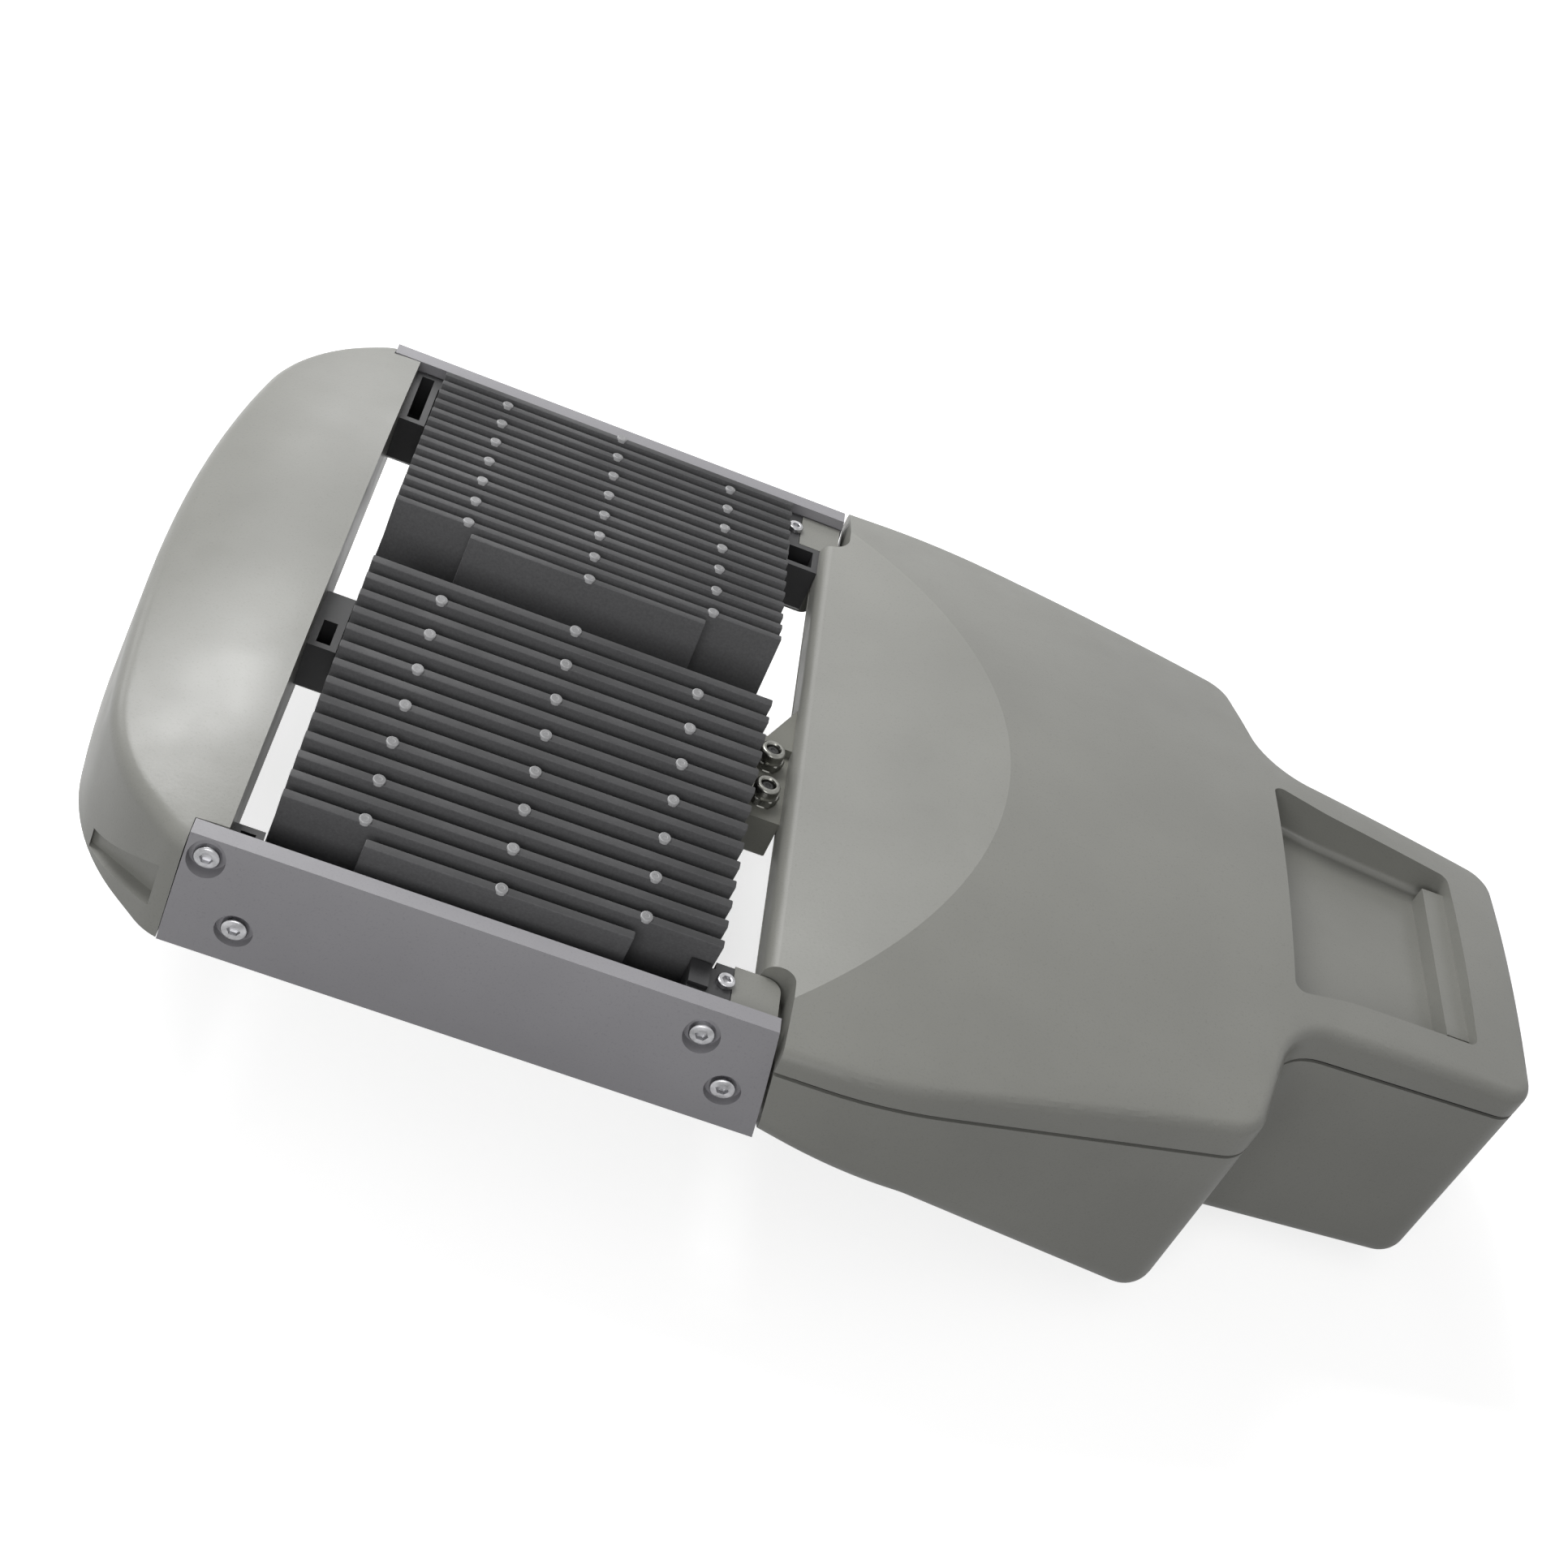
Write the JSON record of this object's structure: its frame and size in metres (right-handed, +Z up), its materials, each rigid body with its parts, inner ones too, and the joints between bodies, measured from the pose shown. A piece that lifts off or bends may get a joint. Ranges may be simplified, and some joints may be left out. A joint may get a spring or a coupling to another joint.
{
  "type": "led street light head",
  "caption": "Street light head with finned lamp modules in an open frame, a rounded cap and a cast rear housing that clamps onto a lamp arm.",
  "frame": {"origin": "centre of the arm socket's mouth", "axes": "+X out of the socket along the arm, +Y across the lamp, +Z up, with the fins on top and the lenses beneath"},
  "size_m": [0.504, 0.3004, 0.1197],
  "materials": {
    "board": "satin",
    "bracket_black": "satin",
    "case_metal": "satin",
    "case_white": "matte",
    "cast_grey": "satin",
    "chip": "matte",
    "gland_black": "matte",
    "lens": "gloss",
    "rail_grey": "satin",
    "seal": "matte",
    "sink_dark": "matte",
    "steel": "satin"
  },
  "bodies": {
    "root": {"arm_clamp_bolts": "steel", "bracket_screws": "steel", "cable_glands": "gland_black", "centre_beam": "bracket_black", "cover_gasket": "seal", "cover_screws": "steel", "front_cap": "cast_grey", "front_centre_bracket": "bracket_black", "front_corner_bracket_left": "bracket_black", "front_corner_bracket_right": "bracket_black", "heat_sink_left": "sink_dark", "heat_sink_right": "sink_dark", "housing_cover": "cast_grey", "led_board_left": "board", "led_board_right": "board", "led_chips_left": "chip", "led_chips_right": "chip", "led_driver": "case_metal", "lens_frame_left": "rail_grey", "lens_frame_right": "rail_grey", "lens_frame_screws": "steel", "lens_gasket_left": "seal", "lens_gasket_right": "seal", "lens_plate_left": "lens", "lens_plate_right": "lens", "module_screws": "steel", "rail_screws": "steel", "rear_centre_bracket": "bracket_black", "rear_corner_bracket_left": "bracket_black", "rear_corner_bracket_right": "bracket_black", "rear_housing": "cast_grey", "side_rail_left": "rail_grey", "side_rail_right": "rail_grey", "surge_protector": "case_white", "terminal_block": "case_white"}
  },
  "joints": []
}
